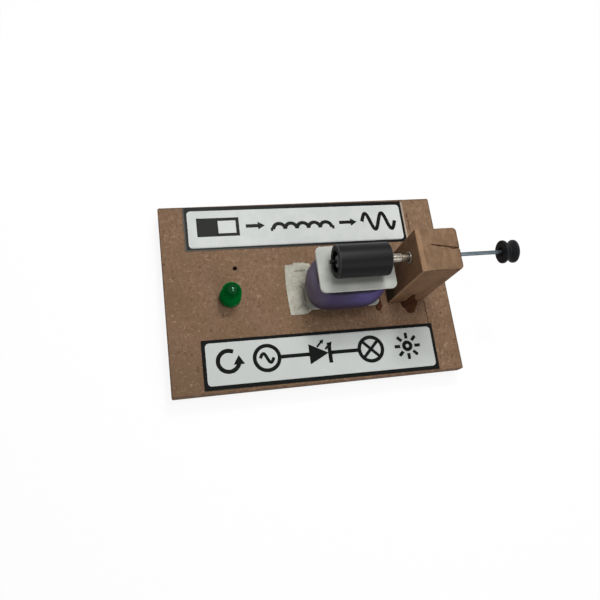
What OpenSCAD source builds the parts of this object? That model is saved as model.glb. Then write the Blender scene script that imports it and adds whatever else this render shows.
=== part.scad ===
// Classroom generator model: a pulley spins a ferrite magnet over a coil, and the coil lights an LED.
// Millimetres, +Z up, +X along the shaft towards the pulley.
// The origin is the middle of the footprint, on the table that the feet stand on.

/* [Board] */
// Length of the board, along the shaft
board_l = 150; // [142:1:220]
// Depth of the board, front to back
board_d = 98; // [90:1:160]
// Thickness of the board
board_t = 5.5; // [4:0.5:12]
// Rounding of the board's corners
board_corner_r = 0.8; // [0.4:0.1:4]

/* [Feet] */
// Diameter of a stick-on rubber foot
foot_d = 10; // [8:0.5:14]
// Height of a foot
foot_h = 5; // [4:0.5:12]
// Bevel round the bottom of a foot
foot_bevel = 0.8; // [0.2:0.1:1.5]
// Distance from a foot's centre to the board's edges
foot_inset = 10; // [8:0.5:16]

/* [Labels] */
// Length of a printed label
label_l = 121.2; // [60:0.1:130]
// Depth of the rear label, front to back
rear_label_d = 24.2; // [12:0.1:25]
// Depth of the front label, front to back
front_label_d = 24.7; // [12:0.1:25]
// Thickness of a label
label_t = 0.3; // [0.1:0.05:0.6]
// Shift of the rear label, from the middle of the board
rear_label_x = -2; // [-5:0.1:5]
// Shift of the front label, from the middle of the board
front_label_x = 1.3; // [-5:0.1:5]
// Bare board behind the rear label
rear_label_margin = 0.7; // [0.4:0.1:3]
// Turn of the rear label, in degrees
rear_label_turn = -0.3; // [-0.3:0.1:0.3]
// Bare board in front of the front label
front_label_margin = 1.3; // [0.5:0.1:3]
// Turn of the front label, in degrees
front_label_turn = -0.4; // [-0.4:0.1:0.4]

/* [Coil] */
// Place of the coil's axis, from the middle of the board
coil_x = 15.9; // [8:0.1:18]
// Place of the bobbin, from the middle of the board to the rear
coil_y = 0.4; // [-0.5:0.1:0.5]
// Length of a bobbin flange, along the shaft
bobbin_l = 38.4; // [34:0.2:44]
// Depth of a bobbin flange
bobbin_d = 23.2; // [20:0.2:28]
// Height of the bobbin
bobbin_h = 29; // [18:0.5:40]
// Thickness of a flange
flange_t = 1.5; // [1:0.1:3]
// Rounding of a flange's corners
flange_corner_r = 2.8; // [1:0.1:5]
// Wall of the bobbin's tube
tube_wall = 1; // [0.6:0.1:2]
// Length of the iron core, along the shaft
core_l = 18; // [10:0.5:20]
// Sheets in the iron core
core_sheets = 8; // [4:1:10]
// Thickness of one core sheet
core_sheet_t = 0.85; // [0.4:0.05:0.95]
// Varnish between two core sheets
core_varnish = 0.05; // [0.02:0.01:0.1]
// Step from the flange's edge in to the round end of the winding away from the post, at the flange
winding_inset = 1.5; // [1.4:0.1:3]
// Step from the flange's edge in to the round end of the winding by the post, at the flange
winding_end_inset = 4.6; // [2:0.1:6]
// Step from the flange's edge in to the long sides of the winding, at the flange
winding_side_inset = 2; // [1.8:0.1:3]
// Shift of the uneven winding, from the middle of the flanges to the rear
winding_y = -1.4; // [-1.5:0.1:1.5]
// How far the tape-wrapped winding swells at half height
winding_bulge = 4.3; // [1:0.1:6]
// Thickness of the insulating tape round the winding
wrap_t = 0.8; // [0.4:0.1:1.5]

/* [Fixing tape] */
// Width of the paper tape that holds the coil down
fixing_tape_w = 26.6; // [16:0.2:32]
// Length of that tape on the board
fixing_tape_l = 9.8; // [5:0.1:14]
// Lap of that tape on top of the flange
fixing_tape_lap = 1; // [0.6:0.1:1.1]
// Thickness of that tape
fixing_tape_t = 0.4; // [0.2:0.05:0.6]

/* [Lamp] */
// Place of the LED, from the middle of the board along the shaft
led_x = -42.6; // [-56:0.1:-30]
// Place of the LED, from the middle of the board to the rear
led_y = -1.3; // [-4:0.1:4]
// Diameter of the LED's dome
led_d = 10; // [5:0.5:12]
// Height of the LED
led_h = 13.3; // [11.5:0.1:18]
// Height of the flags on the legs above the rim
led_flag_rise = 1; // [0.5:0.1:2]
// Width of the rim round the LED's foot
led_rim_w = 0.55; // [0.3:0.05:1]
// Height of that rim
led_rim_h = 1.6; // [0.8:0.1:2.5]
// Distance between the LED's two legs
led_pitch = 2.54; // [2:0.02:3]
// Thickness of a leg
leg_t = 0.6; // [0.4:0.05:0.7]
// Room round a leg in its hole
leg_room = 0.2; // [0.1:0.05:0.4]
// Length of a leg below the board
leg_below = 2.2; // [1.8:0.1:2.8]

/* [Wiring] */
// Diameter of the insulated wires under the board
wire_d = 1.2; // [0.8:0.1:1.5]
// Bend of a wire where it turns up to the coil
wire_bend_r = 1.2; // [1:0.1:2]
// Room round the pair of wires in their hole
wire_hole_room = 0.6; // [0.3:0.1:1]
// Diameter of a solder joint
solder_d = 2.2; // [2:0.1:2.4]
// Thickness of the tape over the wires
wire_tape_t = 0.2; // [0.1:0.05:0.4]
// Length of one of those tape strips along the wires
wire_tape_l = 9; // [4:0.5:12]
// Depth of the nail hole in front of the rear label
nail_hole_depth = 3; // [1:0.5:3.5]
// Diameter of that nail hole
nail_hole_d = 2; // [1:0.1:3]

/* [Post] */
// Gap between the coil and the post
post_gap = 4.8; // [0.6:0.1:8]
// Width of the post, along the shaft
post_w = 21.1; // [18:0.1:26]
// Depth of the post
post_d = 21; // [16:0.2:30]
// Wood above the middle of the shaft
post_over = 10.7; // [9:0.1:20]
// Rounding of the post's two corners on the pulley's side
post_corner_r = 2.2; // [0.5:0.1:4]
// Width of the split in the top of the post
split_w = 0.5; // [0.2:0.1:1]
// Depth of that split
split_depth = 4; // [1:0.5:5]
// Turn of that split away from the shaft, in degrees
split_turn = 10; // [0:1:15]
// Length of that split, in from the pulley's side
split_l = 14.5; // [6:0.5:16]
// Diameter of a wood screw, from below into the post
screw_d = 3; // [2.5:0.1:4]
// Length of a wood screw
screw_l = 18; // [16:0.5:24]
// Distance between the two screws
screw_pitch = 9; // [8.5:0.5:11]

/* [Glue] */
// Thickness of the glue that ran out at the post
post_glue_t = 0.5; // [0.2:0.1:1]
// Height of the glue at the coil
coil_glue_h = 1; // [0.4:0.1:1.4]

/* [Bearing] */
// Outside diameter of a bush
bush_d = 4.8; // [4.6:0.1:6]
// Length of a bush inside the wood
bush_l = 8; // [4:0.5:8.5]
// Width of the bush's flange round its body
bush_flange_w = 0.35; // [0.3:0.05:1]
// Thickness of that flange
bush_flange_t = 0.6; // [0.4:0.05:1]
// Depth of the wide mouth in a bush
bush_mouth_depth = 0.9; // [0.6:0.05:1.2]
// Room round the sleeve in that mouth, on the radius
bush_mouth_room = 0.4; // [0.05:0.05:0.4]
// Room between the shaft and the wood, on the radius
post_bore_room = 0.6; // [0.3:0.1:0.8]
// Room between the shaft and a bush, on the radius
shaft_room = 0.05; // [0.02:0.01:0.09]

/* [Rotor] */
// Diameter of the shaft
shaft_d = 2; // [1.6:0.1:2.2]
// Place of the shaft, from the middle of the board to the rear
shaft_y = 0.6; // [-2:0.1:2]
// Shaft standing out of the magnet's free end
shaft_stub = 2.6; // [0.5:0.1:5]
// Shaft between the post and the pulley
shaft_reach = 27.3; // [12:0.1:40]
// Shaft standing out beyond the pulley
shaft_tip = 0.8; // [0.4:0.1:4]
// Diameter of the magnet
magnet_d = 16; // [12:0.5:20]
// Length of the magnet
magnet_l = 25.8; // [16:0.2:28]
// Gap between the magnet and the coil's top flange
magnet_gap = 0.8; // [0.6:0.1:4]
// Bevel of the magnet's edges
magnet_bevel = 0.4; // [0.2:0.1:1]
// Diameter of the plastic hub in the magnet
hub_d = 10.5; // [7:0.5:11]
// Diameter of the raised boss of the hub
hub_boss_d = 5.6; // [3.6:0.1:6]
// Depth of that boss below the magnet's free end
hub_boss_sunk = 0.8; // [0.2:0.1:1]
// Depth of the rest of the hub below that end
hub_recess = 2.4; // [1.4:0.1:3]
// Diameter of the collar beside the magnet
collar_d = 4.3; // [3.4:0.1:5]
// Length of that collar
collar_l = 6.7; // [3:0.1:7.5]
// Wall of the sleeve between the collar and the bush
sleeve_wall = 0.75; // [0.4:0.05:0.75]
// Room between the sleeve's end and the bush
sleeve_room = 0.35; // [0.3:0.05:0.5]

/* [Pulley] */
// Diameter of the pulley's rims
pulley_d = 11.4; // [8:0.2:24]
// Width of the pulley
pulley_w = 7.2; // [5:0.2:12]
// Width of one rim
pulley_rim_w = 1.3; // [0.6:0.1:1.8]
// Depth of the groove for the drive cord
pulley_groove = 2.1; // [1:0.1:2.3]
// Bevel of the rims' edges
pulley_bevel = 0.3; // [0.1:0.05:0.5]
// Width of the sunk ring round the shaft
pulley_ring_w = 1.1; // [0.5:0.1:1.4]
// Depth of that ring
pulley_ring_depth = 0.7; // [0.3:0.1:1.5]

/* [Hidden] */
$fn = 64;
eps = 0.01;

// Heights
under_z = foot_h;
top_z = under_z + board_t;
winding_z = top_z + flange_t;
winding_h = bobbin_h - 2 * flange_t;
flange_top_z = top_z + bobbin_h;
shaft_z = flange_top_z + magnet_gap + magnet_d / 2;
post_h = shaft_z + post_over - top_z;
wire_z = under_z - wire_d / 2;

// Places along the shaft, first from the middle of the board
winding_left = -bobbin_l / 2 + winding_inset;
winding_right = bobbin_l / 2 - winding_end_inset;
winding_d = bobbin_d - 2 * winding_side_inset;
post_from_mid = coil_x + max(bobbin_l / 2, winding_right + winding_bulge) + post_gap;
tip_from_mid = post_from_mid + post_w + shaft_reach + pulley_w + shaft_tip;
board_x = -(max(tip_from_mid, board_l / 2) - board_l / 2) / 2;
coil_cx = board_x + coil_x;
led_cx = board_x + led_x;
post_left = board_x + post_from_mid;
post_right = post_left + post_w;
post_cx = post_left + post_w / 2;
magnet_left = coil_cx - magnet_l / 2;
magnet_right = coil_cx + magnet_l / 2;
shaft_left = magnet_left - shaft_stub;
pulley_left = post_right + shaft_reach;
shaft_right = pulley_left + pulley_w + shaft_tip;
shaft_l = shaft_right - shaft_left;
sleeve_left = magnet_right + collar_l;
sleeve_right = post_left - bush_flange_t + bush_mouth_depth - sleeve_room;
sleeve_d = shaft_d + 2 * sleeve_wall;

// The core, its tube and the leads beside the tube
core_d = core_sheets * (core_sheet_t + core_varnish);
tube_l = core_l + 2 * tube_wall;
tube_d = core_d + 2 * tube_wall;
lead_x = coil_cx + (winding_left - tube_l / 2) / 2;
pair_w = led_pitch + wire_d;
wire_hole_d = pair_w + 2 * wire_hole_room;
leg_hole_d = leg_t * sqrt(2) + 2 * leg_room;
led_centre_z = top_z + led_h - led_d / 2;
flag_z = top_z + led_rim_h + led_flag_rise;
flag_h = led_centre_z - flag_z;
screw_head_d = 2 * screw_d;
screw_head_h = screw_d / 2;
nail_hole_from_led = [4, 15.3];
bush_hole_d = shaft_d + 2 * shaft_room;
bush_mouth_d = sleeve_d + 2 * bush_mouth_room;
post_bore_d = shaft_d + 2 * post_bore_room;

// Round spots of glue: two places and a radius each, from the post's corner or the coil's corner
puddle_spots = [[12, 0, 4.8], [12.2, 4, 2.7]];
tongue_spots = [[13, 0, 3.4], [12, 3.6, 2.2], [11.2, 6.4, 1.7], [10.8, 8.8, 1.4], [10.5, 11, 1.1]];
coil_glue_spots = [[0, 3.4, 1.1], [0, 1.4, 1.3], [-0.2, -0.6, 1.6], [-0.6, -1.6, 1.5]];

wood = "#8c715a";
hardboard = "#846a54";
steel = "#8a8f94";

// A flat rectangle with round corners, centred
module rounded_rect(l, d, r) {
    square([l - 2 * r, d], center = true);
    square([l, d - 2 * r], center = true);
    for (x = [-1, 1], y = [-1, 1])
        translate([x * (l / 2 - r), y * (d / 2 - r)]) circle(r);
}

// The side of a swollen block: r wide at both ends of its height h, r + bulge at half height
module swollen_side(r, h, bulge) {
    arc_r = (h * h / 4 + bulge * bulge) / (2 * bulge);
    intersection() {
        square([r + bulge, h]);
        translate([r + bulge - arc_r, h / 2]) circle(arc_r, $fn = 128);
    }
}

// A block on z = 0 with two round ends, whose sides swell in the middle
module swollen_block(left, right, d, h, bulge) {
    straight = right - left - d;
    translate([left + d / 2, 0, 0]) {
        for (side = [0, 1]) mirror([0, side, 0]) rotate([90, 0, 90])
            linear_extrude(straight) swollen_side(d / 2, h, bulge);
        rotate_extrude(angle = 180, start = 90) swollen_side(d / 2, h, bulge);
        translate([straight, 0, 0]) rotate_extrude(angle = 180, start = 270)
            swollen_side(d / 2, h, bulge);
    }
}

// Turned pieces: the children lie in X (radius) and Y (distance along the shaft from x)
module on_shaft(x) {
    translate([x, shaft_y, shaft_z]) rotate([90, 0, 90]) rotate_extrude() children();
}

// Both screws, or what they pass through, at their places in the underside of the board
module at_screws() {
    for (side = [-1, 1])
        translate([post_cx + side * screw_pitch / 2, 0, under_z]) children();
}

module screw_body() {
    cylinder(h = screw_head_h, d1 = screw_head_d, d2 = screw_d);
    cylinder(h = screw_l, d = screw_d);
}

// Both legs of the LED, or their holes
module at_legs() {
    for (side = [-1, 1])
        translate([led_cx, led_y + side * led_pitch / 2, 0]) children();
}

module base_board() color(hardboard) difference() {
    translate([board_x, 0, under_z])
        linear_extrude(board_t) rounded_rect(board_l, board_d, board_corner_r);
    at_legs() translate([0, 0, under_z - 1]) cylinder(h = board_t + 2, d = leg_hole_d);
    translate([lead_x, led_y, under_z - 1]) cylinder(h = board_t + 2, d = wire_hole_d);
    translate([led_cx + nail_hole_from_led.x, led_y + nail_hole_from_led.y, top_z - nail_hole_depth])
        cylinder(h = nail_hole_depth + 1, d = nail_hole_d);
    at_screws() screw_body();
}

module foot(side_x, side_y) color("#2b2b2b")
    translate([board_x + side_x * (board_l / 2 - foot_inset), side_y * (board_d / 2 - foot_inset), 0]) {
        cylinder(h = foot_bevel, d1 = foot_d - 2 * foot_bevel, d2 = foot_d);
        translate([0, 0, foot_bevel]) cylinder(h = foot_h - foot_bevel, d = foot_d);
    }

module label(x, y, d, turn) color("#cdd0ce")
    translate([board_x + x, y, top_z]) rotate(turn)
        linear_extrude(label_t) square([label_l, d], center = true);

module rear_label() label(
    rear_label_x, board_d / 2 - rear_label_margin - rear_label_d / 2,
    rear_label_d, rear_label_turn);

module front_label() label(
    front_label_x, -board_d / 2 + front_label_margin + front_label_d / 2,
    front_label_d, front_label_turn);

module bearing_post() color(wood) difference() {
    translate([post_cx, 0, top_z]) linear_extrude(post_h) {
        translate([-post_w / 2, -post_d / 2]) square([post_w - post_corner_r, post_d]);
        translate([0, -post_d / 2 + post_corner_r])
            square([post_w / 2, post_d - 2 * post_corner_r]);
        for (side = [-1, 1])
            translate([post_w / 2 - post_corner_r, side * (post_d / 2 - post_corner_r)])
                circle(post_corner_r);
    }
    on_shaft(post_left - 1) square([post_bore_d / 2, post_w + 2]);
    on_shaft(post_left - 1) square([bush_d / 2, bush_l + 1]);
    on_shaft(post_right - bush_l) square([bush_d / 2, bush_l + 1]);
    translate([post_right, 0, top_z + post_h]) rotate([0, 0, -split_turn]) rotate([90, 0, -90])
        linear_extrude(2 * split_l, center = true)
            polygon([[-split_w / 2, eps], [split_w / 2, eps], [0, -split_depth]]);
    at_screws() screw_body();
}

// A flanged bush: x runs from the flange's face into the wood
module bush_side() {
    difference() {
        union() {
            square([bush_d / 2 + bush_flange_w, bush_flange_t]);
            square([bush_d / 2, bush_flange_t + bush_l]);
        }
        translate([0, -1]) square([bush_hole_d / 2, bush_l + bush_flange_t + 2]);
        translate([0, -1]) square([bush_mouth_d / 2, bush_mouth_depth + 1]);
    }
}

module inner_bush() color(steel) on_shaft(post_left - bush_flange_t) bush_side();

module outer_bush() color(steel) on_shaft(post_right + bush_flange_t) mirror([0, 1]) bush_side();

module post_screws() color(steel) at_screws() difference() {
    screw_body();
    for (turn = [0, 90])
        rotate(turn) translate([-screw_d / 2, -screw_d / 8, -1])
            cube([screw_d, screw_d / 4, 1 + screw_head_h / 2]);
}

// Brown adhesive squeezed out at the front foot of the post, with a tongue up its front face
module post_glue() color("#3c2116") difference() {
    union() {
        for (spot = puddle_spots)
            translate([post_left + spot[0], -post_d / 2 - spot[1], top_z])
                cylinder(h = post_glue_t, r = spot[2]);
        for (spot = tongue_spots)
            translate([post_left + spot[0], -post_d / 2, top_z + spot[1]])
                rotate([90, 0, 0]) cylinder(h = post_glue_t, r = spot[2]);
    }
    translate([post_left, -post_d / 2, under_z]) cube([post_w, post_d, post_h]);
    translate([post_left, -post_d, under_z]) cube([post_w, post_d, board_t]);
}

module flange_plate() linear_extrude(flange_t) rounded_rect(bobbin_l, bobbin_d, flange_corner_r);

module coil_bobbin() color("#c3c6c4") difference() {
    translate([coil_cx, coil_y, top_z]) {
        flange_plate();
        translate([0, 0, bobbin_h - flange_t]) flange_plate();
        linear_extrude(bobbin_h) square([tube_l, tube_d], center = true);
    }
    translate([coil_cx, coil_y, top_z - 1])
        linear_extrude(bobbin_h + 2) square([core_l, core_d], center = true);
    translate([lead_x, led_y, top_z - 1]) cylinder(h = flange_t + 2, d = wire_hole_d);
}

module iron_core() color("#55575a") for (sheet = [0 : core_sheets - 1])
    translate([
        coil_cx - core_l / 2,
        coil_y + (sheet + 0.5) * (core_sheet_t + core_varnish) - core_d / 2 - core_sheet_t / 2,
        top_z,
    ])
        cube([core_l, core_sheet_t, bobbin_h]);

// The outer skin of the winding, which the tape is wrapped on
module winding_body(inset) translate([coil_cx, coil_y + winding_y, winding_z])
    swollen_block(winding_left + inset, winding_right - inset, winding_d - 2 * inset, winding_h,
        winding_bulge);

module coil_winding() color("#8a4b24") difference() {
    winding_body(wrap_t);
    translate([coil_cx, coil_y, winding_z - 1])
        linear_extrude(winding_h + 2) square([tube_l, tube_d], center = true);
}

module coil_wrap() color("#50466e") difference() {
    winding_body(0);
    winding_body(wrap_t);
}

// Brown adhesive along the foot of the coil, at its corner by the post
module coil_glue() color("#3c2116") difference() {
    translate([coil_cx + bobbin_l / 2, coil_y - bobbin_d / 2, top_z])
        for (spot = coil_glue_spots)
            translate([spot[0], spot[1], 0]) cylinder(h = coil_glue_h, r = spot[2]);
    translate([coil_cx, coil_y, top_z - 1])
        linear_extrude(flange_t + 2) rounded_rect(bobbin_l, bobbin_d, flange_corner_r);
}

// Paper tape from the board up the end of the coil's lower flange and over its edge
module fixing_tape() color("#acac9b") {
    end_x = coil_cx - bobbin_l / 2;
    translate([0, fixing_tape_w / 2, 0]) rotate([90, 0, 0]) linear_extrude(fixing_tape_w) polygon([
        [end_x - fixing_tape_l, top_z],
        [end_x, top_z],
        [end_x, winding_z],
        [end_x + fixing_tape_lap, winding_z],
        [end_x + fixing_tape_lap, winding_z + fixing_tape_t],
        [end_x - fixing_tape_t, winding_z + fixing_tape_t],
        [end_x - fixing_tape_t, top_z + fixing_tape_t],
        [end_x - fixing_tape_l, top_z + fixing_tape_t],
    ]);
}

// One leg of the LED: a square wire with a flag on its top, inside the dome
module led_leg(flag_w) {
    translate([-leg_t / 2, -leg_t / 2, under_z - leg_below])
        cube([leg_t, leg_t, flag_z + eps - under_z + leg_below]);
    translate([-leg_t / 2, 0, flag_z]) rotate([90, 0, 90]) linear_extrude(leg_t) polygon([
        [-leg_t / 2, 0],
        [leg_t / 2, 0],
        [leg_t / 2 + flag_w, flag_h / 2],
        [leg_t / 2 + flag_w, flag_h],
        [-leg_t / 2, flag_h],
    ]);
}

module led_anode() color(steel)
    translate([led_cx, led_y - led_pitch / 2, 0]) led_leg(leg_t / 4);

module led_cathode() color(steel)
    translate([led_cx, led_y + led_pitch / 2, 0]) mirror([0, 1, 0]) led_leg(led_pitch / 2);

module led_lens() color("#0a6a2c") difference() {
    translate([led_cx, led_y, top_z]) {
        difference() {
            cylinder(h = led_rim_h, d = led_d + 2 * led_rim_w);
            translate([-led_d, led_d / 2, -1]) cube([2 * led_d, led_d, led_rim_h + 2]);
        }
        cylinder(h = led_h - led_d / 2, d = led_d);
        translate([0, 0, led_h - led_d / 2]) sphere(d = led_d);
    }
    translate([led_cx - led_d, led_y - led_d, top_z - 2 * led_d]) cube(2 * led_d);
    led_anode();
    led_cathode();
}

// A wire from a leg of the LED along the underside of the board, then up to the winding
module lead_wire(side) color("#222426") translate([0, led_y + side * led_pitch / 2, wire_z]) {
    run_x = lead_x - wire_bend_r;
    translate([led_cx + leg_t / 2, 0, 0]) rotate([0, 90, 0])
        cylinder(h = run_x - led_cx - leg_t / 2, d = wire_d);
    translate([run_x, 0, wire_bend_r]) rotate([90, 0, 0]) rotate_extrude(angle = 90, start = 270)
        translate([wire_bend_r, 0]) circle(d = wire_d);
    translate([lead_x, 0, wire_bend_r]) cylinder(h = winding_z - wire_z - wire_bend_r, d = wire_d);
}

module lead_wire_front() lead_wire(-1);

module lead_wire_rear() lead_wire(1);

// Beads of solder round the legs and the ends of the wires, clear of the board
module solder_joints() color("#b9bcc0") difference() {
    at_legs() translate([0, 0, wire_z - wire_d / 4]) sphere(d = solder_d);
    translate([led_cx - solder_d, led_y - led_d, under_z - leg_room])
        cube([2 * solder_d, 2 * led_d, led_d]);
    led_anode();
    led_cathode();
    lead_wire_front();
    lead_wire_rear();
}

// A strip of tape across both wires, stuck to the underside of the board at its two ends
module wire_tape(x) color("#acac9b") {
    low_z = under_z - wire_d;
    in_y = pair_w / 2;
    out_y = in_y + wire_d;
    end_y = out_y + 2 * wire_d;
    translate([x - wire_tape_l / 2, led_y, 0]) rotate([90, 0, 90]) linear_extrude(wire_tape_l)
        polygon([
            [-end_y, under_z], [-out_y, under_z], [-in_y, low_z],
            [in_y, low_z], [out_y, under_z], [end_y, under_z],
            [end_y, under_z - wire_tape_t], [out_y, under_z - wire_tape_t],
            [in_y, low_z - wire_tape_t], [-in_y, low_z - wire_tape_t],
            [-out_y, under_z - wire_tape_t], [-end_y, under_z - wire_tape_t],
        ]);
}

module wire_tape_left() wire_tape(led_cx + (lead_x - led_cx) / 3);

module wire_tape_right() wire_tape(led_cx + (lead_x - led_cx) * 2 / 3);

module rotor_shaft() color(steel) on_shaft(shaft_left) square([shaft_d / 2, shaft_l]);

module rotor_magnet() color("#282828") on_shaft(magnet_left) polygon([
    [hub_d / 2, 0],
    [magnet_d / 2 - magnet_bevel, 0],
    [magnet_d / 2, magnet_bevel],
    [magnet_d / 2, magnet_l - magnet_bevel],
    [magnet_d / 2 - magnet_bevel, magnet_l],
    [hub_d / 2, magnet_l],
]);

module rotor_hub() color("#4a4c4e") on_shaft(magnet_left) polygon([
    [shaft_d / 2, hub_boss_sunk],
    [hub_boss_d / 2, hub_boss_sunk],
    [hub_boss_d / 2, hub_recess],
    [hub_d / 2, hub_recess],
    [hub_d / 2, magnet_l],
    [shaft_d / 2, magnet_l],
]);

module rotor_collar() color("#b0aaa0") on_shaft(magnet_right)
    translate([shaft_d / 2, 0]) square([(collar_d - shaft_d) / 2, collar_l]);

module spacer_sleeve() color("#78736a") on_shaft(sleeve_left)
    translate([shaft_d / 2, 0]) square([sleeve_wall, sleeve_right - sleeve_left]);

module drive_pulley() color("#191a1b") on_shaft(pulley_left) {
    rim_r = pulley_d / 2;
    ring_r = shaft_d / 2 + pulley_bevel + pulley_ring_w;
    polygon([
        [shaft_d / 2, 0],
        [shaft_d / 2 + pulley_bevel, 0],
        [shaft_d / 2 + pulley_bevel, pulley_ring_depth],
        [ring_r, pulley_ring_depth],
        [ring_r, 0],
        [rim_r - pulley_bevel, 0],
        [rim_r, pulley_bevel],
        [rim_r, pulley_rim_w],
        [rim_r - pulley_groove, pulley_w / 2 - pulley_bevel],
        [rim_r - pulley_groove, pulley_w / 2 + pulley_bevel],
        [rim_r, pulley_w - pulley_rim_w],
        [rim_r, pulley_w - pulley_bevel],
        [rim_r - pulley_bevel, pulley_w],
        [shaft_d / 2, pulley_w],
    ]);
}

base_board();
foot(-1, -1);  // foot_front_left
foot(1, -1);  // foot_front_right
foot(-1, 1);  // foot_rear_left
foot(1, 1);  // foot_rear_right
rear_label();
front_label();
bearing_post();
inner_bush();
outer_bush();
post_screws();
post_glue();
coil_bobbin();
iron_core();
coil_winding();
coil_wrap();
coil_glue();
fixing_tape();
led_lens();
led_anode();
led_cathode();
lead_wire_front();
lead_wire_rear();
solder_joints();
wire_tape_left();
wire_tape_right();
rotor_shaft();
rotor_magnet();
rotor_hub();
rotor_collar();
spacer_sleeve();
drive_pulley();
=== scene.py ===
# A classroom generator model: a pulley spins a ferrite magnet over a taped coil, which lights an LED.
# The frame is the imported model's own: +X along the shaft to the pulley, +Y to the rear label, +Z up.
# Sizes in the sections are millimetres, and pieces are turned into metres when they are added.
import math

import bmesh
import bpy
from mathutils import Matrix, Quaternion, Vector, noise
from mathutils.geometry import intersect_point_line


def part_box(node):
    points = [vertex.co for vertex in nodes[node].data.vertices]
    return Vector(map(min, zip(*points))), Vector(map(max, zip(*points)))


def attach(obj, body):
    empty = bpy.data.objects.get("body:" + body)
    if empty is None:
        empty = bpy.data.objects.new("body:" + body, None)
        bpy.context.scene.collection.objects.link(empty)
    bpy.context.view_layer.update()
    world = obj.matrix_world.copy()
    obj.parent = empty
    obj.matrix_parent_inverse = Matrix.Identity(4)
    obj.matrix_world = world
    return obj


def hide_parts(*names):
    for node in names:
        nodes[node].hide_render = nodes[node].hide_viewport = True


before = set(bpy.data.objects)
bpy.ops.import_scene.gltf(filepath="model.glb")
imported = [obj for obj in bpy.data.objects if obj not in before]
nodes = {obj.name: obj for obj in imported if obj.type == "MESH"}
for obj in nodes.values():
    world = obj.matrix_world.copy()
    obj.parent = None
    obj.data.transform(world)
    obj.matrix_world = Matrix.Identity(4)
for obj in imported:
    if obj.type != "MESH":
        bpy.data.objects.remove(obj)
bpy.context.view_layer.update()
mm = 0.001


# Base board: a sheet of brown hardboard, sawn to size and drilled for the legs, wires and screws.
# Its pressed face shows pale and dark fibres, and its sawn edges are darker. A knife has marked
# the bare strip beside the labels, and a nail has left a hole behind the LED.
class Signal:
    """A socket of a material's nodes. Python's arithmetic on it adds Math nodes."""

    def __init__(self, tree, socket=None):
        self.tree = tree
        self.socket = socket

    def node(self, kind, settings={}, sockets={}, output=None):
        """Adds a node of this kind: first its settings, then its sockets, by name or by place."""
        made = self.tree.nodes.new("ShaderNode" + kind)
        for name, value in settings.items():
            setattr(made, name, value)
        for name, value in sockets.items():
            by_name = [s for s in made.inputs if s.name == name and s.enabled]
            socket = by_name[0] if by_name else made.inputs[name]
            if isinstance(value, Signal):
                self.tree.links.new(value.socket, socket)
            else:
                socket.default_value = value
        found = [s for s in made.outputs if s.enabled and output in (None, s.name)]
        return Signal(self.tree, found[0] if found else None)

    def math(self, operation, *values):
        return self.node("Math", {"operation": operation}, dict(enumerate(values)))

    def __add__(self, other):
        return self.math("ADD", self, other)

    __radd__ = __add__

    def __sub__(self, other):
        return self.math("SUBTRACT", self, other)

    def __rsub__(self, other):
        return self.math("SUBTRACT", other, self)

    def __mul__(self, other):
        return self.math("MULTIPLY", self, other)

    __rmul__ = __mul__

    def __abs__(self):
        return self.math("ABSOLUTE", self)

    def between(self, low, high):
        """0 below low, 1 above high and smooth between them."""
        limits = {"Value": self, "From Min": low, "From Max": high}
        return self.node("MapRange", {"interpolation_type": "SMOOTHSTEP"}, limits)

    def mixed(self, under, over):
        """The colour under where this mask is 0, and over where it is 1."""
        return self.node("Mix", {"data_type": "RGBA"}, {"Factor": self, "A": under, "B": over})

    def axis(self, name):
        return self.node("SeparateXYZ", {}, {0: self}, name)

    x = property(lambda self: self.axis("X"))
    y = property(lambda self: self.axis("Y"))
    z = property(lambda self: self.axis("Z"))

    def facing(self):
        """The heading of the surface, as a vector."""
        return self.node("NewGeometry", output="Normal")

    def vector(self, operation, *values):
        return self.node("VectorMath", {"operation": operation}, dict(enumerate(values)))

    def stretched(self, x, y, z):
        return self.vector("MULTIPLY", self, (x, y, z))

    def cloud(self, per_mm, detail=2.0, roughness=0.5):
        """Soft noise from 0 to 1 with this many patches in a millimetre."""
        sockets = {"Vector": self, "Scale": per_mm, "Detail": detail, "Roughness": roughness}
        return self.node("TexNoise", {}, sockets)


def tone(red, green, blue):
    """A colour in screen values from 0 to 255, as linear light."""
    return tuple(((c / 255 + 0.055) / 1.055) ** 2.4 for c in (red, green, blue)) + (1.0,)


def layered(colour, *layers):
    """A colour with other tones laid over it in turn, each with its mask and its screen values."""
    for mask, shade in layers:
        colour = mask.mixed(colour, tone(*shade))
    return colour


def new_finish(name):
    """A new material, and the place on its piece in millimetres, from which its nodes are made."""
    material = bpy.data.materials.new(name)
    material.use_nodes = True
    material.node_tree.nodes.clear()
    start = Signal(material.node_tree)
    metres = start.node("TexCoord", output="Object")
    return material, start.node("VectorMath", {"operation": "SCALE"}, {0: metres, "Scale": 1 / mm})


def seal(place, colour, roughness, height, relief, specular=0.5, metallic=0.0):
    """Ends a finish: its shader, with height from 0 to 1 standing out by relief millimetres."""
    bump = place.node("Bump", {}, {"Height": height, "Distance": relief * mm})
    sockets = {"Base Color": colour, "Roughness": roughness, "Normal": bump,
               "Specular IOR Level": specular, "Metallic": metallic}
    shader = place.node("BsdfPrincipled", {}, sockets)
    place.node("OutputMaterial", {}, {"Surface": shader})


def dress(node, finish, edge):
    """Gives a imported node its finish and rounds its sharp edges."""
    piece = nodes[node]
    piece.data.materials.clear()
    piece.data.materials.append(finish)
    piece.modifiers.new("joined", "WELD").merge_threshold = 0.001 * mm
    rounding = piece.modifiers.new("edges", "BEVEL")
    rounding.width = edge * mm
    rounding.segments = 2
    rounding.angle_limit = math.radians(35)
    piece.modifiers.new("flat", "WEIGHTED_NORMAL")


def box_mm(node):
    low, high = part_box(node)
    return low / mm, high / mm


board_low, board_high = box_mm("base_board")
top_z = board_high.z
under_z = board_low.z
board_mid = (board_low + board_high) / 2

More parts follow.
